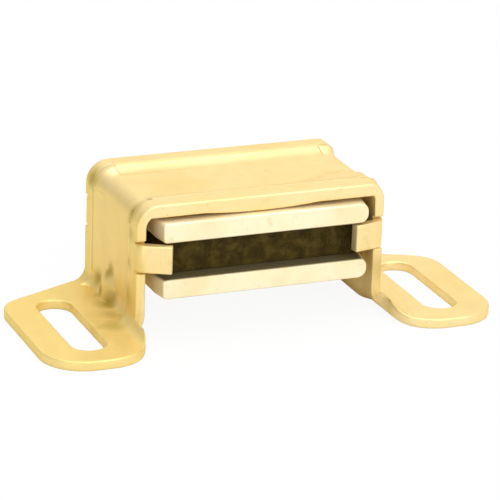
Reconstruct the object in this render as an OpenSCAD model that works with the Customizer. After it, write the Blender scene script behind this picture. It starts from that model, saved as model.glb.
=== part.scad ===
// Magnetic catch for a cabinet door: a pressed strap case that holds a floating pack,
// one ceramic magnet between two steel pole plates.
// Millimetres. +Z is up, away from the surface that the feet are screwed to.
// The origin lies on that surface, midway between the feet and midway across the strap.
// The strap runs along X from foot to foot, and the pole plates face -Y, towards the door.

/* [Case] */
// Outer width of the case across its raised rims
case_w = 32; // [30:0.5:40]
// Outer height of the case over the mounting surface
case_h = 16.5; // [15.5:0.5:22]
// Width of the strap, from the front rim's edge to the rear rim's edge
strap_w = 18.6; // [17:0.2:24]
// Thickness of the sheet
sheet_t = 1.2; // [0.8:0.1:1.4]
// Outer radius of the left top bend
top_bend_left = 2.8; // [2.2:0.2:5]
// Outer radius of the right top bend
top_bend_right = 2.2; // [2.2:0.2:5]
// Radius of the hollow corner between a wall and its foot
foot_bend_r = 1.6; // [1.2:0.2:3]
// How far the front edge of the top hangs below the sheet, from bend to bend
lip_drop = 0.35; // [0.1:0.05:0.5]
// How much further down that edge is pressed in its middle
lip_sag = 0.35; // [0.1:0.05:0.6]
// Half length of the stretch that is pressed further down
lip_half_l = 7.4; // [5:0.2:11]
// Depth of the hanging edge, from the front back
lip_d = 1; // [0.5:0.1:1.5]

/* [Channel] */
// Width of the raised rim along the front edge
rim_front = 3; // [2:0.2:3.6]
// Width of the raised rim along the rear edge
rim_rear = 2.4; // [1.6:0.2:3.6]
// Width of the hollow slope from a rim down to the channel's floor
slope_w = 2.4; // [0.8:0.2:3.2]
// Depth of the channel between the rims
channel_sink = 0.6; // [0.2:0.1:0.8]

/* [Gusset darts] */
// Width of each dart at the wall, below its shoulder
dart_w = 5.8; // [4.6:0.2:7]
// How far each dart stands out of the channel
dart_proud = 1.1; // [0.6:0.1:1.4]
// Height of each dart over the mounting surface
dart_h = 5; // [4.6:0.2:7]
// Height of the dart's sloping shoulder
dart_shoulder = 1.3; // [0.8:0.1:2]
// How much each dart draws in from the foot to its shoulder
dart_taper = 0.4; // [0:0.1:0.6]
// How far each dart lies behind the middle of the strap
dart_back = 1.8; // [-2:0.2:2.4]

/* [Feet] */
// Overall length from foot to foot
overall_l = 58; // [56:0.5:72]
// How far each foot's front ear reaches forward of the strap
ear_reach = 8.2; // [6:0.2:12]
// Corner radius of the front ear
ear_r = 5.4; // [3:0.2:5.8]
// How far the skewed rear edge comes forward between the wall and the foot's outer end
rear_skew = 6; // [3:0.2:7]
// Corner radius at the rear outer corner
rear_r = 4; // [2:0.2:5]

/* [Slots] */
// How far each slot's centre line lies inward of the middle of its flat foot
slot_inward = 0.5; // [-0.5:0.1:1]
// Width of each slot
slot_w = 4.4; // [3.6:0.1:5]
// Length of each slot from end to end
slot_l = 16.8; // [9:0.2:18]
// How far the slots' middle lies forward of the strap's middle
slot_forward = 5.6; // [4.6:0.2:6.4]

/* [Tabs] */
// Height of each holding tab
tab_h = 3.4; // [2:0.1:4]
// Reach of the front left tab beyond the wall's inner face
tab_reach_left = 2.5; // [2.4:0.1:4]
// Reach of the other tabs
tab_reach = 2.9; // [2.4:0.1:4]
// Fold of the front left tab, 90 being square to the wall
tab_fold_left = 64; // [60:1:90]
// Fold of the front right tab
tab_fold_right = 78; // [60:1:90]
// Fold of the two rear tabs
tab_fold_rear = 84; // [60:1:90]
// Inner radius of a tab's fold
tab_bend_r = 0.4; // [0.2:0.1:0.8]
// How far behind the strap's edge each fold begins
tab_set_back = 0.7; // [0.4:0.1:1]
// Height of the relief nick above and below each tab's root
relief_h = 0.35; // [0.2:0.05:0.5]

/* [Magnet pack] */
// Thickness of each pole plate
plate_t = 2.5; // [2.5:0.1:3]
// Free gap on each side between a centred pole plate and the channel
side_gap = 0.6; // [0.5:0.1:0.9]
// How far the loose pack lies to the right of the middle
pack_shift = 0.3; // [0:0.1:0.4]
// How far the plates stand out of the case's front
plate_proud = 1.1; // [0.4:0.1:2]
// How far the plates' rear ends lie inside the case's rear edge
plate_inset = 0.5; // [0:0.1:2]
// How much each end of a plate is clipped back at the front corners
plate_clip = 0.4; // [0.2:0.1:1.6]
// Depth of the clipped corner
plate_clip_d = 2.3; // [1:0.1:4]
// Rounding of the plates' rolled ends, seen from the front
plate_end_r = 1.2; // [0.5:0.1:1.2]
// Least clearance between the upper plate's rolled ends and the top bends
corner_gap = 0.1; // [0.05:0.05:0.1]
// Thickness of the magnet
magnet_t = 4.55; // [4.3:0.05:6]
// How far each end of the magnet lies inside the plates' ends
magnet_inset = 0.8; // [0.4:0.1:1.6]
// Rounding of the magnet's corners
magnet_r = 0.4; // [0.1:0.1:0.8]
// Least gap between the upper plate and the channel's underside
head_gap = 0.2; // [0.1:0.05:0.6]
// Least gap between the upper plate and the hanging front edge
lip_gap = 0.1; // [0.05:0.05:0.3]
// Gap between the upper plate and the tabs that carry it
seat_gap = 0.15; // [0.1:0.05:0.3]
// Travel of the pack each way, in and out of the case
pack_float = 0.5; // [0.2:0.1:0.8]
// Clear gap between the magnet and the tabs at the end of that travel
stop_gap = 0.25; // [0.1:0.05:0.5]

/* [Hidden] */
$fn = 96;

// Fine overlap of pieces that are one solid, and how far a cut runs past its face
lap = 0.5;
// Steps of each slope between a rim and the channel, and of each tab's fold
slope_steps = 5;
fold_steps = 12;
// The dart's shoulder runs on by this share of its own height, so that it dies out inside the wall
run_on = 0.1;

half_w = case_w / 2;
half_s = strap_w / 2;
half_l = overall_l / 2;
slot_r = slot_w / 2;

// The lower bend's centre, and where the ear leaves it, about half way round
bend_x = half_w + foot_bend_r;
bend_z = sheet_t + foot_bend_r;
ear_x = bend_x - (foot_bend_r + sheet_t / 2) * sin(45);
slot_x = (bend_x + half_l) / 2 - slot_inward;

// The pack hangs from the top: heights of its faces
plate_gap = max(head_gap, lip_drop + lip_sag + lip_gap - channel_sink);
plate_hi = case_h - sheet_t - channel_sink - plate_gap;
magnet_hi = plate_hi - plate_t;
magnet_lo = magnet_hi - magnet_t;
plate_lo = magnet_lo - plate_t;

// Half widths inside the case, and of the pack
channel_x = half_w - sheet_t - channel_sink;
plate_x = channel_x
    - max(side_gap, bend_room(top_bend_left) - pack_shift, bend_room(top_bend_right) + pack_shift);
magnet_x = plate_x - magnet_inset;

// Where each tab's fold begins, and its height range
fold_y = half_s - tab_set_back;
tab_hi = magnet_hi - seat_gap;
tab_lo = tab_hi - tab_h;
// The magnet ends this far from the middle, so that the tabs stop the pack at both ends of its travel
magnet_y = fold_y + tab_bend_r - pack_float - stop_gap;

plate_front = half_s + plate_proud;
plate_rear = half_s - plate_inset;

// The dart is part of an upright round post whose axis lies inside the wall, and narrows a little upwards
dart_r = (dart_w * dart_w / 4 + dart_proud * dart_proud) / (2 * dart_proud);
dart_x = half_w - channel_sink + dart_proud - dart_r;
// The pressed lip is a segment of a large circle
lip_r = (lip_half_l * lip_half_l + lip_sag * lip_sag) / (2 * lip_sag);

// Least gap beside the upper plate, at which its rolled end clears the hollow inside a top bend
function bend_room(bend_r) =
    let(hollow = bend_r - sheet_t - channel_sink)
    let(rise = max(0, hollow - plate_gap - plate_end_r))
    let(slack = max(0, hollow - corner_gap - plate_end_r))
    hollow - plate_end_r - sqrt(max(0, slack * slack - rise * rise));

// Depth below the rims at a share u of a slope, which leaves the rim at a crease and runs out into the floor
function sink_at(u) = channel_sink * sin(90 * u);

// One slope's points from the rim to the floor, on the side given by s, -1 for the front, as [y, depth]
function slope_points(s) =
    let(crease_y = half_s - (s < 0 ? rim_front : rim_rear))
    [for (i = [0 : slope_steps]) [s * (crease_y - slope_w * i / slope_steps), sink_at(i / slope_steps)]];

// The strap's outer line from its front edge to its rear edge, as [y, depth]
function outer_line() = concat(
    [[-half_s, 0]],
    slope_points(-1),
    [for (i = [slope_steps : -1 : 0]) slope_points(1)[i]],
    [[half_s, 0]]
);

// The same line through the lower bend, where it reaches forward to the ear's front edge
function bend_line() = concat(
    [[-half_s - ear_reach, 0]],
    [for (i = [1 : len(outer_line()) - 1]) outer_line()[i]]
);

// Where the bend's hollow face, set in by a depth, comes down to the top of the flat foot
function foot_edge(depth) = bend_x - sqrt(pow(foot_bend_r + depth, 2) - pow(foot_bend_r, 2));

function reversed(a) = [for (i = [len(a) - 1 : -1 : 0]) a[i]];

// Closed section of the strap, its outer face a distance r from the edge of the frame
function strap_points(r) = concat(
    [for (p = outer_line()) [r - p[1], p[0]]],
    [for (p = reversed(outer_line())) [r - sheet_t - p[1], p[0]]]
);

function unit(v) = v / norm(v);

// Convex polygon with a round of radius radii[i] at each corner points[i]
module rounded_polygon(points, radii) {
    n = len(points);
    to_last = [for (i = [0 : n - 1]) unit(points[(i + n - 1) % n] - points[i])];
    to_next = [for (i = [0 : n - 1]) unit(points[(i + 1) % n] - points[i])];
    half = [for (i = [0 : n - 1]) acos(to_last[i] * to_next[i]) / 2];
    polygon([for (i = [0 : n - 1], d = radii[i] > 0 ? [to_last[i], to_next[i]] : [[0, 0]])
        points[i] + d * radii[i] / tan(half[i])]);
    for (i = [0 : n - 1])
        if (radii[i] > 0)
            translate(points[i] + unit(to_last[i] + to_next[i]) * radii[i] / sin(half[i]))
                circle(r = radii[i]);
}

// Plan of one foot and its ear, with everything of the strap that lies inside ear_x
module foot_plan() {
    rounded_polygon(
        [
            [ear_x, half_s - rear_skew * (ear_x - half_w) / (half_l - half_w)],
            [ear_x, -half_s - ear_reach],
            [half_l, -half_s - ear_reach],
            [half_l, half_s - rear_skew]
        ],
        [0, ear_r, ear_r, rear_r]
    );
    translate([half_w - sheet_t - lap - channel_sink, -half_s])
        square([ear_x + lap / 5 - (half_w - sheet_t - lap - channel_sink), strap_w]);
}

// The lower bend, turned about the hollow corner's axis, with the stretch that the ear bends out of.
// The channel runs out here: past foot_edge() the foot is flat from one edge to the other.
module lower_bend() {
    intersection() {
        translate([bend_x, 0, bend_z])
            rotate([90, 0, 0])
                rotate_extrude(angle = 90, start = 180)
                    polygon(concat(
                        [for (p = bend_line()) [foot_bend_r + p[1], -p[0]]],
                        [for (p = reversed(bend_line())) [foot_bend_r + sheet_t + p[1], -p[0]]]
                    ));
        linear_extrude(height = bend_z)
            foot_plan();
    }
}

// The flat of the foot, from where it leaves the bend
module foot_flat() {
    linear_extrude(height = sheet_t)
        intersection() {
            foot_plan();
            polygon(concat(
                [[half_l + lap, -half_s - ear_reach]],
                [for (p = bend_line()) [foot_edge(p[1]), p[0]]],
                [[half_l + lap, half_s]]
            ));
        }
}

// Right-hand wall, top bend and half of the top
module upper_strap(bend_r) {
    translate([0, 0, bend_z])
        linear_extrude(height = case_h - bend_r - bend_z)
            polygon(strap_points(half_w));
    translate([half_w - bend_r, 0, case_h - bend_r])
        rotate([90, 0, 0])
            rotate_extrude(angle = 90)
                polygon(strap_points(bend_r));
    translate([-lap, 0, 0])
        rotate([90, 0, 90])
            linear_extrude(height = half_w - bend_r + lap)
                polygon([for (p = strap_points(case_h)) [p[1], p[0]]]);
}

// The dart as a solid post with a sloping shoulder; inner makes the hollow pressed into its back
module dart_post(inner) {
    r = inner ? dart_r - sheet_t : dart_r;
    drop = inner ? sheet_t / 3 : 0;
    floor_z = inner ? -lap : sheet_t * 5 / 6;
    shoulder_z = dart_h - dart_shoulder - drop;
    translate([dart_x, dart_back, floor_z])
        cylinder(r1 = r, r2 = r - dart_taper, h = shoulder_z - floor_z);
    r_end = r - dart_proud - run_on * (dart_proud - dart_taper);
    translate([dart_x, dart_back, shoulder_z])
        cylinder(r1 = r - dart_taper, r2 = max(0, r_end), h = (1 + run_on) * dart_shoulder);
}

// The part of the dart that stands out of the wall
module dart() {
    intersection() {
        dart_post(false);
        translate([half_w - channel_sink - sheet_t / 3, dart_back - dart_w, 0])
            cube([dart_w, 2 * dart_w, 2 * dart_h]);
    }
}

// Room for a tab's fold and the relief nicks at its root, on the right-hand front edge
module tab_notch() {
    translate([half_w - sheet_t - lap, -half_s - lap, tab_lo - relief_h])
        cube([sheet_t + 2 * lap, tab_set_back + lap, tab_h + 2 * relief_h]);
}

// Plan of a sheet that leaves the right-hand wall's front edge and folds inwards by an angle
function tab_arc(r, fold) = [for (i = [0 : fold_steps])
    [half_w - sheet_t - tab_bend_r + r * cos(fold * i / fold_steps), -fold_y - r * sin(fold * i / fold_steps)]];

// A holding tab folded in from the right-hand wall's front edge, to a reach beyond the wall's inner face
module tab(fold, reach) {
    leg = (reach - tab_bend_r + (tab_bend_r + sheet_t) * cos(fold)) / sin(fold);
    along = [-sin(fold), -cos(fold)];
    outer = tab_arc(tab_bend_r + sheet_t, fold);
    inner = tab_arc(tab_bend_r, fold);
    translate([0, 0, tab_lo])
        linear_extrude(height = tab_h)
            polygon(concat(
                [[half_w, lap - fold_y]],
                outer,
                [outer[fold_steps] + leg * along, inner[fold_steps] + leg * along],
                reversed(inner),
                [[half_w - sheet_t, lap - fold_y]]
            ));
}

// One half of the case, from the middle of its top to the foot's end, on the right-hand side
module half_case(bend_r, front_fold, front_reach) {
    difference() {
        union() {
            upper_strap(bend_r);
            lower_bend();
            foot_flat();
            dart();
        }
        translate([slot_x, -slot_forward, -lap])
            linear_extrude(height = sheet_t + 2 * lap)
                slot_plan();
        dart_post(true);
        tab_notch();
        mirror([0, 1, 0])
            tab_notch();
    }
    tab(front_fold, front_reach);
    mirror([0, 1, 0])
        tab(tab_fold_rear, tab_reach);
}

// Plan of a slot that runs along Y, centred on the origin
module slot_plan() {
    straight = slot_l - slot_w;
    square([slot_w, straight], center = true);
    for (s = [-1, 1])
        translate([0, s * straight / 2])
            circle(r = slot_r);
}

// The front edge of the top hangs a little below the sheet, and further in its middle
module pressed_lip() {
    low = case_h - sheet_t - lip_drop - lip_sag;
    translate([0, lip_d - half_s, 0])
        rotate([90, 0, 0])
            linear_extrude(height = lip_d) {
                translate([top_bend_left / 2 - half_w, low + lip_sag])
                    square([case_w - (top_bend_left + top_bend_right) / 2, lip_drop + lap / 5]);
                intersection() {
                    translate([0, low + lip_r])
                        circle(r = lip_r, $fn = 360);
                    translate([-lip_half_l, low])
                        square([2 * lip_half_l, lip_sag + lip_drop]);
                }
            }
}

module case() {
    color([0.86, 0.74, 0.42]) {
        half_case(top_bend_right, tab_fold_right, tab_reach);
        mirror([1, 0, 0])
            half_case(top_bend_left, tab_fold_left, tab_reach_left);
        pressed_lip();
    }
}

// Pole plate: punched flat bar, clipped at its front corners and rolled at its ends
module pole_plate(z) {
    intersection() {
        translate([pack_shift, 0, z])
            linear_extrude(height = plate_t)
                polygon([
                    [-plate_x + plate_clip, -plate_front],
                    [plate_x - plate_clip, -plate_front],
                    [plate_x, -plate_front + plate_clip_d],
                    [plate_x, plate_rear],
                    [-plate_x, plate_rear],
                    [-plate_x, -plate_front + plate_clip_d]
                ]);
        translate([pack_shift, plate_rear + lap, z])
            rotate([90, 0, 0])
                linear_extrude(height = plate_front + plate_rear + 2 * lap)
                    rounded_polygon(
                        [[-plate_x, 0], [plate_x, 0], [plate_x, plate_t], [-plate_x, plate_t]],
                        [plate_end_r, plate_end_r, plate_end_r, plate_end_r]
                    );
    }
}

module upper_pole_plate() {
    color([0.93, 0.90, 0.80])
        pole_plate(magnet_hi);
}

module lower_pole_plate() {
    color([0.93, 0.90, 0.80])
        pole_plate(plate_lo);
}

// Ceramic magnet, a plain block with softened upright corners
module magnet() {
    color([0.22, 0.18, 0.10])
        translate([pack_shift, 0, magnet_lo])
            linear_extrude(height = magnet_t)
                rounded_polygon(
                    [
                        [-magnet_x, -magnet_y],
                        [magnet_x, -magnet_y],
                        [magnet_x, magnet_y],
                        [-magnet_x, magnet_y]
                    ],
                    [magnet_r, magnet_r, magnet_r, magnet_r]
                );
}

case();
upper_pole_plate();
lower_pole_plate();
magnet();
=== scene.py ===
"""Looks of the magnetic catch: a pressed brass-coloured case round a ceramic magnet and two pole plates.

Lengths are metres in the part's own frame: X from foot to foot, Z up, the pole plates facing -Y.
"""

import math

import bmesh
import bpy
import numpy as np
from mathutils import Matrix, Vector


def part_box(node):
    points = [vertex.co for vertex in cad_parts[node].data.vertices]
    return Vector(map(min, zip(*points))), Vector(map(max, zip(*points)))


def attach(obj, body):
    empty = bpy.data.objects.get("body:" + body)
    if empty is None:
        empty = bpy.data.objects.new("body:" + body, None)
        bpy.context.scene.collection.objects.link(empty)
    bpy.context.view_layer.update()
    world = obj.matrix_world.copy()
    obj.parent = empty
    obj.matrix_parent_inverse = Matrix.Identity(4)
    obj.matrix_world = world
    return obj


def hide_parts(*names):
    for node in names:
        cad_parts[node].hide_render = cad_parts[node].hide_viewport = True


MM = 0.001
X, Y, Z = 0, 1, 2

# Where the case's rims meet the slopes of its sunk channel, along Y, and the way into the channel
FRONT_CREASE, REAR_CREASE = -6.3, 6.9
CREASES = ((FRONT_CREASE, 1.0), (REAR_CREASE, -1.0))

# The axis of the case's right top bend, which runs along Y: its X and Z in metres
RIGHT_BEND_AXIS = (13.8 * MM, 14.3 * MM)

# Dark patches on the plating, partly tarnishing and partly painted shade and painted reflection on the walls,
# bends and feet: place in millimetres, reach in millimetres, and the greatest share
SHADE_AND_TARNISH_SPOTS = (
    ((-15.5, 7.4, 14.8), 2.0, 0.85),
    ((-15.3, -6.0, 15.0), 2.3, 0.98),
    ((-15.9, -7.2, 12.6), 1.8, 0.39),
    ((-15.9, 1.2, 4.9), 1.7, 1.0),
    ((-15.7, 5.4, 2.4), 1.6, 0.78),
    ((-15.9, 2.6, 1.8), 1.5, 0.91),
    ((-16.4, -0.4, 1.2), 2.6, 1.0),
    ((-17.4, -3.6, 1.2), 2.4, 0.59),
    ((-18.6, -7.4, 1.2), 3.0, 0.65),
    ((-16.0, -6.4, 8.8), 1.7, 0.45),
    ((-16.0, -6.0, 4.4), 2.6, 0.65),
    ((15.7, 2.6, 2.4), 2.6, 0.91),
    ((16.0, -8.4, 5.5), 3.4, 0.52),
)

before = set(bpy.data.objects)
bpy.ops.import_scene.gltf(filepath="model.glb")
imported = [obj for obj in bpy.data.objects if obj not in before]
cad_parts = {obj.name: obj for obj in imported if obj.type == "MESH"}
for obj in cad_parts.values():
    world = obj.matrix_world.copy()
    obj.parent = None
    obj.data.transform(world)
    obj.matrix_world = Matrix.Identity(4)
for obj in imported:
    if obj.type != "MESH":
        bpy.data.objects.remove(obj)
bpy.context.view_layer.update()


def camera_like_the_photo():
    """Puts the camera at the photo's angle: round by an azimuth, up by an elevation, turned by a roll.

    The point over the origin at aim_height lands on the pixel aim_pixel of a picture 500 pixels wide.
    """
    azimuth, elevation, roll = (math.radians(a) for a in (22.64, 20.1, 1.93))
    focal_px, scale_px_per_mm = 2992.0, 8.113
    aim_height, aim_pixel = 7.111 * MM, (232.5, 243.7)
    sensor_mm, picture_px = 36.0, 500.0
    half_picture = picture_px / 2

    back = Vector((-math.sin(azimuth) * math.cos(elevation), -math.cos(azimuth) * math.cos(elevation),
                   math.sin(elevation)))
    level_right = Vector((math.cos(azimuth), -math.sin(azimuth), 0.0))
    level_up = back.cross(level_right)
    right = math.cos(roll) * level_right + math.sin(roll) * level_up
    up = math.cos(roll) * level_up - math.sin(roll) * level_right
    metres_per_px = MM / scale_px_per_mm
    place = (Vector((0.0, 0.0, aim_height))
             - (aim_pixel[0] - half_picture) * metres_per_px * right
             + (aim_pixel[1] - half_picture) * metres_per_px * up
             + focal_px * metres_per_px * back)

    data = bpy.data.cameras.new("camera")
    data.sensor_width = sensor_mm
    data.lens = focal_px * sensor_mm / picture_px
    data.clip_start, data.clip_end = 0.01, 10.0
    camera = bpy.data.objects.new("camera", data)
    camera.matrix_world = Matrix.Translation(place) @ Matrix((right, up, back)).transposed().to_4x4()
    bpy.context.scene.collection.objects.link(camera)
    bpy.context.scene.camera = camera


class Nodes:
    """Short hand for building one material's node tree."""

    def __init__(self, name):
        self.material = bpy.data.materials.new(name)
        self.material.use_nodes = True
        self.tree = self.material.node_tree
        self.tree.nodes.clear()
        self.output = self.add("ShaderNodeOutputMaterial")

    def add(self, kind, settings=None, **inputs):
        """Adds a node, sets its properties, and sets or links its inputs by name."""
        node = self.tree.nodes.new(kind)
        for key, value in (settings or {}).items():
            setattr(node, key, value)
        for key, value in inputs.items():
            self.feed(node.inputs[key.replace("_", " ")], value)
        return node

    def feed(self, socket, value):
        """Links a socket to another node's output, or sets it to a plain value."""
        if isinstance(value, bpy.types.NodeSocket):
            self.tree.links.new(value, socket)
        else:
            socket.default_value = value

    def object_point(self, stretch=(1.0, 1.0, 1.0)):
        """Object coordinates in millimetres, stretched along the axes."""
        place = self.add("ShaderNodeTexCoord").outputs["Object"]
        scale = tuple(s / MM for s in stretch)
        return self.add("ShaderNodeMapping", Vector=place, Scale=scale).outputs["Vector"]

    def noise(self, point, scale, detail=3.0, roughness=0.5, distortion=0.0):
        """Fractal noise from 0 to 1, with scale cells a millimetre."""
        node = self.add("ShaderNodeTexNoise", Vector=point, Scale=scale, Detail=detail,
                        Roughness=roughness, Distortion=distortion)
        return node.outputs["Fac"]

    def ramp(self, value, low, high, out_low=0.0, out_high=1.0):
        """Maps low..high of a value smoothly to out_low..out_high."""
        node = self.add("ShaderNodeMapRange", {"interpolation_type": "SMOOTHSTEP"}, Value=value,
                        From_Min=low, From_Max=high, To_Min=out_low, To_Max=out_high)
        return node.outputs["Result"]

    def math(self, operation, a, b=0.0):
        """One arithmetic step on two values."""
        node = self.add("ShaderNodeMath", {"operation": operation})
        self.feed(node.inputs[0], a)
        self.feed(node.inputs[1], b)
        return node.outputs["Value"]

    def mix(self, share, first, second):
        """Mixes two colours by a share."""
        node = self.add("ShaderNodeMix", {"data_type": "RGBA"})
        self.feed(node.inputs["Factor"], share)
        self.feed(node.inputs["A"], first)
        self.feed(node.inputs["B"], second)
        return node.outputs["Result"]

    def spot(self, point, place, reach, wander):
        """1 at a place in millimetres, falling smoothly to 0 about a reach away, with an edge that wanders."""
        away = self.add("ShaderNodeVectorMath", {"operation": "DISTANCE"})
        self.feed(away.inputs[0], point)
        self.feed(away.inputs[1], place)
        ragged = self.math("ADD", away.outputs["Value"], self.math("MULTIPLY", wander, 0.8 * reach))
        return self.ramp(ragged, 0.3 * reach, 1.4 * reach, 1.0, 0.0)

    def bump(self, height, distance, strength=1.0, normal=None):
        """Bump from a height of 0 to 1 that stands for a distance in metres."""
        node = self.add("ShaderNodeBump", Height=height, Distance=distance, Strength=strength)
        if normal is not None:
            self.feed(node.inputs["Normal"], normal)
        return node.outputs["Normal"]

    def softened(self, radius):
        """A normal that runs smoothly over every edge, as if it were rounded to a radius in metres."""
        return self.add("ShaderNodeBevel", {"samples": 6}, Radius=radius).outputs["Normal"]

    def surface(self, **inputs):
        """Ends the tree in a principled shader."""
        shader = self.add("ShaderNodeBsdfPrincipled", **inputs)
        self.tree.links.new(shader.outputs["BSDF"], self.output.inputs["Surface"])


def painted_crease_highlight_and_shade(m, axes, colour, pale, dull):
    """Paints a thin bright line on the rim's side of each crease, a painted highlight, and a dull one on the
    channel's side, a painted shade.
    """
    shine_place, shine_half, shine_end, shine_most = -0.10, 0.04, 0.16, 0.6
    shade_place, shade_half, shade_end, shade_most = 0.16, 0.04, 0.22, 0.45
    above_foot = m.ramp(axes["Z"], 2.4, 3.6)
    for crease, inwards in CREASES:
        into_channel = m.math("MULTIPLY", m.math("SUBTRACT", axes["Y"], crease), inwards)
        from_shine = m.math("ABSOLUTE", m.math("SUBTRACT", into_channel, shine_place))
        from_shade = m.math("ABSOLUTE", m.math("SUBTRACT", into_channel, shade_place))
        shine = m.ramp(from_shine, shine_half, shine_end, shine_most, 0.0)
        shade = m.ramp(from_shade, shade_half, shade_end, shade_most, 0.0)
        colour = m.mix(m.math("MULTIPLY", shine, above_foot), colour, pale)
        colour = m.mix(m.math("MULTIPLY", shade, above_foot), colour, dull)
    return colour


def satin_plating():
    """The case: yellow satin plating over rolled sheet, cloudy, with faint rolling lines and nicks, a painted
    highlight and painted shade along the creases, painted shade on the left wall, and dark patches that are
    partly tarnishing and partly painted shade and painted reflection.
    """
    m = Nodes("satin_plating")
    point = m.object_point()
    clouds = m.noise(point, 0.10, 3.0, 0.5, 0.3)
    patches = m.noise(point, 0.55, 4.0, 0.6, 0.2)
    grain = m.noise(point, 5.0, 3.0, 0.65)
    rolled = m.noise(m.object_point((0.06, 1.0, 0.25)), 7.0, 3.0, 0.6)
    specks = m.ramp(m.noise(point, 2.2, 2.0, 0.5), 0.68, 0.76)

    light = (0.94, 0.755, 0.40, 1.0)
    deep = (0.89, 0.70, 0.32, 1.0)
    left_wall_shade_colour = (0.88, 0.68, 0.25, 1.0)
    # The colour of the painted highlight along the creases
    pale = (1.0, 0.88, 0.60, 1.0)
    dull = (0.56, 0.40, 0.10, 1.0)
    # The colour of the dark patches: partly tarnishing, partly painted shade and painted reflection
    shade_and_tarnish_colour = (0.34, 0.225, 0.0, 1.0)
    colour = m.mix(m.ramp(clouds, 0.35, 0.7), light, deep)
    colour = m.mix(m.ramp(patches, 0.55, 0.8, 0.0, 0.22), colour, dull)
    colour = m.mix(m.ramp(rolled, 0.55, 0.8, 0.0, 0.14), colour, dull)
    colour = m.mix(m.math("MULTIPLY", specks, 0.35), colour, dull)
    axes = m.add("ShaderNodeSeparateXYZ", Vector=point).outputs
    # The left wall is painted a deeper colour: painted shade on the side turned away from the lamps
    left_wall_painted_shade = m.ramp(axes["X"], -15.9, -14.6, 0.85, 0.0)
    colour = m.mix(left_wall_painted_shade, colour, left_wall_shade_colour)
    # A painted highlight and a painted shade along each crease
    colour = painted_crease_highlight_and_shade(m, axes, colour, pale, dull)
    shade_and_tarnish_share = 0.0
    for place, reach, most in SHADE_AND_TARNISH_SPOTS:
        spot = m.math("MULTIPLY", m.spot(point, place, reach, patches), most)
        shade_and_tarnish_share = m.math("MAXIMUM", spot, shade_and_tarnish_share)
    # Darkens the patches: partly tarnishing, partly painted shade and painted reflection
    colour = m.mix(shade_and_tarnish_share, colour, shade_and_tarnish_colour)

    clean_metal, rougher_by = 0.7, 0.2
    rough = m.math("ADD", m.ramp(patches, 0.3, 0.75, 0.40, 0.52), m.math("MULTIPLY", shade_and_tarnish_share, rougher_by))
    metal = m.math("SUBTRACT", clean_metal, m.math("MULTIPLY", shade_and_tarnish_share, clean_metal))
    height = m.math("ADD", m.math("MULTIPLY", rolled, 0.5), m.math("MULTIPLY", grain, 0.5))
    normal = m.bump(patches, 0.03 * MM, 0.3, m.softened(0.28 * MM))
    normal = m.bump(height, 0.006 * MM, 0.5, normal)
    m.surface(Base_Color=colour, Metallic=metal, Roughness=rough, Normal=normal,
              Specular_IOR_Level=0.12, Specular_Tint=(1.0, 0.82, 0.45, 1.0))
    return m.material


def pale_steel():
    """The pole plates: punched steel, pale plated, lightly scratched, their faces next to the magnet darkened
    by painted shade and painted reflection of the magnet, with some dirt.
    """
    m = Nodes("pale_steel")
    magnet_low, magnet_high = (corner.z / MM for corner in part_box("magnet"))
    pack_middle, half_magnet = (magnet_low + magnet_high) / 2, (magnet_high - magnet_low) / 2
    point = m.object_point()
    clouds = m.noise(point, 0.16, 3.0, 0.6, 0.3)
    draw = m.noise(m.object_point((0.08, 1.0, 1.0)), 4.0, 3.0, 0.6)
    stains = m.ramp(m.noise(point, 0.8, 4.0, 0.65), 0.58, 0.75)
    light = (0.97, 0.84, 0.57, 1.0)
    warm = (0.92, 0.76, 0.45, 1.0)
    dull = (0.55, 0.41, 0.15, 1.0)
    shade_and_grime_colour = (0.10, 0.075, 0.018, 1.0)
    colour = m.mix(m.ramp(clouds, 0.4, 0.75), light, warm)
    colour = m.mix(m.ramp(draw, 0.6, 0.8, 0.0, 0.25), colour, warm)
    colour = m.mix(m.math("MULTIPLY", stains, 0.3), colour, dull)
    height = m.add("ShaderNodeSeparateXYZ", Vector=point).outputs["Z"]
    from_magnet = m.math("ABSOLUTE", m.math("SUBTRACT", height, pack_middle))
    # The faces next to the magnet are darkened: painted shade and painted reflection of the magnet, with some
    # dirt
    shade_and_grime_reach, shade_and_grime_share = 0.22, 0.85
    shade_and_grime_mask = m.ramp(from_magnet, half_magnet, half_magnet + shade_and_grime_reach, shade_and_grime_share, 0.0)
    colour = m.mix(shade_and_grime_mask, colour, shade_and_grime_colour)
    normal = m.bump(draw, 0.008 * MM, 0.5)
    rough = m.ramp(draw, 0.3, 0.7, 0.34, 0.46)
    m.surface(Base_Color=colour, Metallic=0.4, Roughness=rough, Normal=normal,
              Specular_Tint=(1.0, 0.9, 0.65, 1.0))
    return m.material


def dark_ceramic():
    """The magnet: matt sintered ceramic, near black and mottled, with fine grit and tiny pale chips."""
    m = Nodes("dark_ceramic")
    point = m.object_point()
    mottle = m.noise(point, 0.5, 5.0, 0.7, 0.5)
    grit = m.noise(point, 9.0, 2.0, 0.6)
    chips = m.ramp(m.noise(point, 4.5, 1.0, 0.4), 0.77, 0.81)
    darkest = (0.034, 0.022, 0.003, 1.0)
    dark = (0.088, 0.060, 0.011, 1.0)
    gritty = (0.12, 0.088, 0.026, 1.0)
    chipped = (0.26, 0.21, 0.10, 1.0)
    colour = m.mix(m.ramp(mottle, 0.38, 0.68), darkest, dark)
    colour = m.mix(m.ramp(grit, 0.5, 0.75, 0.0, 0.4), colour, gritty)
    colour = m.mix(m.math("MULTIPLY", chips, 0.7), colour, chipped)
    height = m.math("ADD", m.math("MULTIPLY", mottle, 0.7), m.math("MULTIPLY", grit, 0.3))
    normal = m.bump(height, 0.05 * MM, 0.6)
    m.surface(Base_Color=colour, Roughness=0.8, Specular_IOR_Level=0.1, Normal=normal)
    return m.material


def smooth_rise(share):
    """Goes from 0 to 1 as the share does, level at both ends: three times its square less twice its cube."""
    share = np.clip(share, 0.0, 1.0)
    return share * share * (3 - 2 * share)


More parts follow.
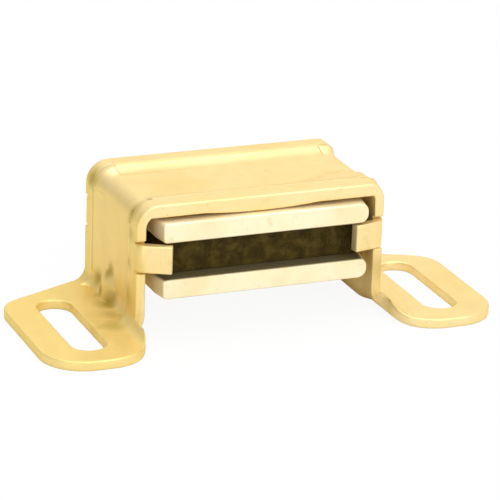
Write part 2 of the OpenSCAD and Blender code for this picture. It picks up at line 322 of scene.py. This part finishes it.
def sharpened_bend(points):
    """Draws the right top bend out towards its corner, as the real one is behind its front edge.

    A point at an angle t round the bend's axis moves away from that axis until it lies on a superellipse: its
    distance is divided by the power-th root of cos(t) and sin(t), each to the power, added up. The power rises
    from 2, the plain circle, at the front edge, to most_power behind it.
    """
    axis_x, axis_z = RIGHT_BEND_AXIS
    most_power, step_start, step_end = 5.0, -9.2 * MM, -6.4 * MM
    dx, dz = points[:, X] - axis_x, points[:, Z] - axis_z
    inside = (dx > 0) & (dz > 0)
    angle = np.arctan2(dz, dx)
    power = 2.0 + (most_power - 2.0) * smooth_rise((points[:, Y] - step_start) / (step_end - step_start))
    with np.errstate(invalid="ignore"):
        drawn = (np.cos(angle) ** power + np.sin(angle) ** power) ** (-1 / power)
    share = np.where(inside, drawn, 1.0)
    moved = points.copy()
    moved[:, X] = axis_x + share * dx
    moved[:, Z] = axis_z + share * dz
    return moved


def widened_rim(points):
    """Carries the front rim further back over the right top bend, where the channel begins later.

    A point of the channel's front slope moves back by most_back times a smooth rise along x from rise_start to
    rise_end, times a smooth rise of its angle round the bend from level with the axis to full_angle.
    """
    axis_x, axis_z = RIGHT_BEND_AXIS
    slope_front, slope_back, most_back = -6.2 * MM, -3.8 * MM, 2.6 * MM
    rise_start, rise_end, full_angle = 5.5 * MM, 13.0 * MM, math.radians(40)
    x, y, z = points.T
    angle = np.where(x > axis_x, np.arctan2(z - axis_z, x - axis_x), math.pi / 2)
    share = smooth_rise((x - rise_start) / (rise_end - rise_start)) * smooth_rise(angle / full_angle)
    moved = points.copy()
    moved[:, Y] += np.where((y > slope_front) & (y < slope_back), most_back * share, 0.0)
    return moved


def stand_in(mesh, node, body, material):
    """Makes a mesh the piece that is seen in place of a CAD node, on the node's own body."""
    mesh.materials.append(material)
    piece = bpy.data.objects.new(node + "_rounded", mesh)
    bpy.context.scene.collection.objects.link(piece)
    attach(piece, body)
    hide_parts(node)
    return piece


def rounded_case(material):
    """A twin of the case with its sheared edges rounded.

    The copy's loose triangles are joined, level ones merged, and its faces cut across at each of rim_cuts, so
    that the rim can curve. The front rim is widened over the right top bend and that bend is drawn out. Every
    edge that turns outwards by more than sharp_turn is bevelled, and the creases and inner corners stay sharp.
    """
    join, level_turn, sharp_turn = 2e-6, math.radians(0.1), math.radians(33)
    edge_round, crease_reach = 0.13 * MM, 0.01 * MM
    rim_cuts = [x * MM for x in (5.5, 7.0, 8.5, 10.0, 11.5, 13.0)]
    bm = bmesh.new()
    bm.from_mesh(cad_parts["case"].data)
    bmesh.ops.remove_doubles(bm, verts=bm.verts, dist=join)
    bmesh.ops.dissolve_degenerate(bm, dist=join / 2, edges=bm.edges)
    bmesh.ops.dissolve_limit(bm, angle_limit=level_turn, verts=bm.verts, edges=bm.edges)
    for cut in rim_cuts:
        bmesh.ops.bisect_plane(bm, geom=bm.verts[:] + bm.edges[:] + bm.faces[:], dist=join,
                               plane_co=(cut, 0.0, 0.0), plane_no=(1.0, 0.0, 0.0))
    weight = bm.edges.layers.float.new("bevel_weight_edge")
    for edge in bm.edges:
        turn = edge.calc_face_angle_signed()
        edge[weight] = 1.0 if turn > sharp_turn else 0.0
        along_crease = any(all(abs(vert.co.y - crease * MM) < crease_reach for vert in edge.verts)
                           for crease, inwards in CREASES)
        edge.smooth = turn > -sharp_turn and not along_crease
    for face in bm.faces:
        face.smooth = True
    mesh = bpy.data.meshes.new("case_rounded")
    bm.to_mesh(mesh)
    bm.free()
    points = np.empty(3 * len(mesh.vertices))
    mesh.vertices.foreach_get("co", points)
    mesh.vertices.foreach_set("co", sharpened_bend(widened_rim(points.reshape(-1, 3))).ravel())

    piece = stand_in(mesh, "case", "case", material)
    bevel = piece.modifiers.new("rounded_edges", "BEVEL")
    bevel.limit_method = "WEIGHT"
    bevel.width = edge_round
    bevel.segments = 2
    bevel.use_clamp_overlap = False
    level = piece.modifiers.new("level_faces_stay_level", "WEIGHTED_NORMAL")
    level.keep_sharp = True


def rounded_rectangle(half_a, half_b, low_corner, high_corner, steps):
    """Points round rectangles of half sides a and b, a row for each station, with quarter circles as corners.

    A corner's centre lies its radius in from both sides, and its points lie that radius times the cosine and
    the sine of their angle from the centre. The corners at low a and at high a differ in radius.
    """
    turn = np.concatenate([np.linspace(q, q + 90, steps) for q in (0, 90, 180, 270)])
    sign_a = np.repeat([1, -1, -1, 1], steps)
    sign_b = np.repeat([1, 1, -1, -1], steps)
    corner = np.where(sign_a > 0, high_corner[:, None], low_corner[:, None])
    a = (half_a[:, None] - corner) * sign_a + corner * np.cos(np.radians(turn))
    b = (half_b[:, None] - corner) * sign_b + corner * np.sin(np.radians(turn))
    return a, b


def rounded_bar(node, body, material, along, corners, edge, clip=0.0, clip_depth=0.0):
    """A bar whose section is a rounded rectangle carried along an axis, with rounded rims at both ends.

    Near an end the section draws in by edge minus the root of edge squared minus the square of what is left
    of edge, which is a quarter circle. Both sides of the first cross axis also draw in, by clip at the low end
    of the bar and evenly to nothing at clip_depth. The two corners are the section's corner radii at the low
    and at the high side of that axis.
    """
    quarter_steps, corner_steps = 5, 7
    low, high = (np.array(corner_point) for corner_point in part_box(node))
    across, up = [axis for axis in (X, Y, Z) if axis != along]
    middle, half = (low + high) / 2, (high - low) / 2
    quarter = edge * (1 - np.cos(np.linspace(0, math.pi / 2, quarter_steps)))
    rows = [low[along] + quarter]
    if clip_depth:
        rows.append(low[along] + np.array([clip_depth]))
    rows.append((high[along] - quarter)[::-1])
    place = np.concatenate(rows)
    from_end = np.minimum(np.minimum(place - low[along], high[along] - place), edge)
    inset = edge - np.sqrt(np.maximum(edge ** 2 - (edge - from_end) ** 2, 0.0))
    clipped = clip * np.clip(1 - (place - low[along]) / clip_depth, 0.0, 1.0) if clip_depth else 0.0
    low_corner, high_corner = (np.maximum(corner - inset, corner / 4) for corner in corners)
    a, b = rounded_rectangle(half[across] - inset - clipped, half[up] - inset, low_corner, high_corner,
                             corner_steps)
    count, around = a.shape
    points = np.empty((count, around, 3))
    points[:, :, along] = place[:, None]
    points[:, :, across] = middle[across] + a
    points[:, :, up] = middle[up] + b

    row, column = np.meshgrid(np.arange(count - 1), np.arange(around), indexing="ij")
    beside = (column + 1) % around
    quads = np.stack([row * around + column, row * around + beside,
                      (row + 1) * around + beside, (row + 1) * around + column], axis=-1).reshape(-1, 4)
    faces = quads.tolist() + [list(range(around))[::-1], [(count - 1) * around + k for k in range(around)]]
    mesh = bpy.data.meshes.new(node + "_rounded")
    mesh.from_pydata(points.reshape(-1, 3).tolist(), [], faces)
    bm = bmesh.new()
    bm.from_mesh(mesh)
    bmesh.ops.recalc_face_normals(bm, faces=bm.faces)
    for face in bm.faces:
        face.smooth = True
    bm.to_mesh(mesh)
    bm.free()
    piece = stand_in(mesh, node, body, material)
    level = piece.modifiers.new("level_faces_stay_level", "WEIGHTED_NORMAL")
    level.keep_sharp = True


def pale_floor():
    """A pale floor that the camera sees nearly white, with the object's shadow still on it."""
    half, white_share = 0.6, 0.92
    mesh = bpy.data.meshes.new("floor")
    mesh.from_pydata([(-half, -half, 0.0), (half, -half, 0.0), (half, half, 0.0), (-half, half, 0.0)], [],
                     [(0, 1, 2, 3)])
    floor = bpy.data.objects.new("floor", mesh)
    bpy.context.scene.collection.objects.link(floor)

    m = Nodes("pale_floor")
    paint = m.add("ShaderNodeBsdfDiffuse", Color=(0.75, 0.75, 0.75, 1.0))
    white = m.add("ShaderNodeEmission", Color=(1.0, 1.0, 1.0, 1.0), Strength=1.0)
    seen = m.add("ShaderNodeLightPath").outputs["Is Camera Ray"]
    share = m.math("MULTIPLY", seen, white_share)
    both = m.add("ShaderNodeMixShader")
    m.feed(both.inputs["Fac"], share)
    m.feed(both.inputs[1], paint.outputs["BSDF"])
    m.feed(both.inputs[2], white.outputs["Emission"])
    m.tree.links.new(both.outputs["Shader"], m.output.inputs["Surface"])
    mesh.materials.append(m.material)


def soft_studio_world():
    """A world that the camera sees pure white, and that lights the object from dim to bright.

    Its strength rises evenly with the cosine of the angle to bright_side, from dimmest to brightest.
    """
    bright_side, dimmest, brightest = (0.55, 0.42, 0.72), 0.12, 0.86
    world = bpy.data.worlds.new("world")
    world.use_nodes = True
    bpy.context.scene.world = world
    tree = world.node_tree
    tree.nodes.clear()
    output = tree.nodes.new("ShaderNodeOutputWorld")
    way = tree.nodes.new("ShaderNodeTexCoord")
    cosine = tree.nodes.new("ShaderNodeVectorMath")
    cosine.operation = "DOT_PRODUCT"
    cosine.inputs[1].default_value = bright_side
    strength = tree.nodes.new("ShaderNodeMapRange")
    for key, value in (("From Min", -1.0), ("From Max", 1.0), ("To Min", dimmest), ("To Max", brightest)):
        strength.inputs[key].default_value = value
    lit = tree.nodes.new("ShaderNodeBackground")
    seen_white = tree.nodes.new("ShaderNodeBackground")
    for background in (lit, seen_white):
        background.inputs["Color"].default_value = (1.0, 1.0, 1.0, 1.0)
    seen_white.inputs["Strength"].default_value = 1.0
    tree.links.new(way.outputs["Generated"], cosine.inputs[0])
    tree.links.new(cosine.outputs["Value"], strength.inputs["Value"])
    tree.links.new(strength.outputs["Result"], lit.inputs["Strength"])
    path = tree.nodes.new("ShaderNodeLightPath")
    choose = tree.nodes.new("ShaderNodeMixShader")
    tree.links.new(path.outputs["Is Camera Ray"], choose.inputs["Fac"])
    tree.links.new(lit.outputs["Background"], choose.inputs[1])
    tree.links.new(seen_white.outputs["Background"], choose.inputs[2])
    tree.links.new(choose.outputs["Shader"], output.inputs["Surface"])


def softbox(name, place, aim, size, watts):
    """A square lamp of a size at a place, both in metres, turned to an aim point."""
    data = bpy.data.lights.new(name, "AREA")
    data.shape = "SQUARE"
    data.size = size
    data.energy = watts
    lamp = bpy.data.objects.new(name, data)
    lamp.location = place
    lamp.rotation_euler = (Vector(aim) - Vector(place)).to_track_quat("-Z", "Y").to_euler()
    bpy.context.scene.collection.objects.link(lamp)


camera_like_the_photo()
pale_floor()
soft_studio_world()
softbox("overhead", (0.02, 0.02, 0.5), (0.0, 0.0, 0.0), 0.5, 1.75)
softbox("front_right", (0.15, -0.5, 0.28), (0.0, 0.0, 0.01), 0.45, 1.3)
softbox("left", (-0.45, -0.42, 0.14), (0.0, 0.0, 0.01), 0.3, 0.75)

plating = satin_plating()
steel = pale_steel()
ceramic = dark_ceramic()
rounded_case(plating)
for plate in ("upper_pole_plate", "lower_pole_plate"):
    rounded_bar(plate, "pack", steel, along=Y, corners=(0.45 * MM, 1.1 * MM), edge=0.22 * MM,
                clip=0.4 * MM, clip_depth=2.3 * MM)
rounded_bar("magnet", "pack", ceramic, along=Z, corners=(0.4 * MM, 0.4 * MM), edge=0.12 * MM)

scene = bpy.context.scene
scene.view_settings.view_transform = "Standard"
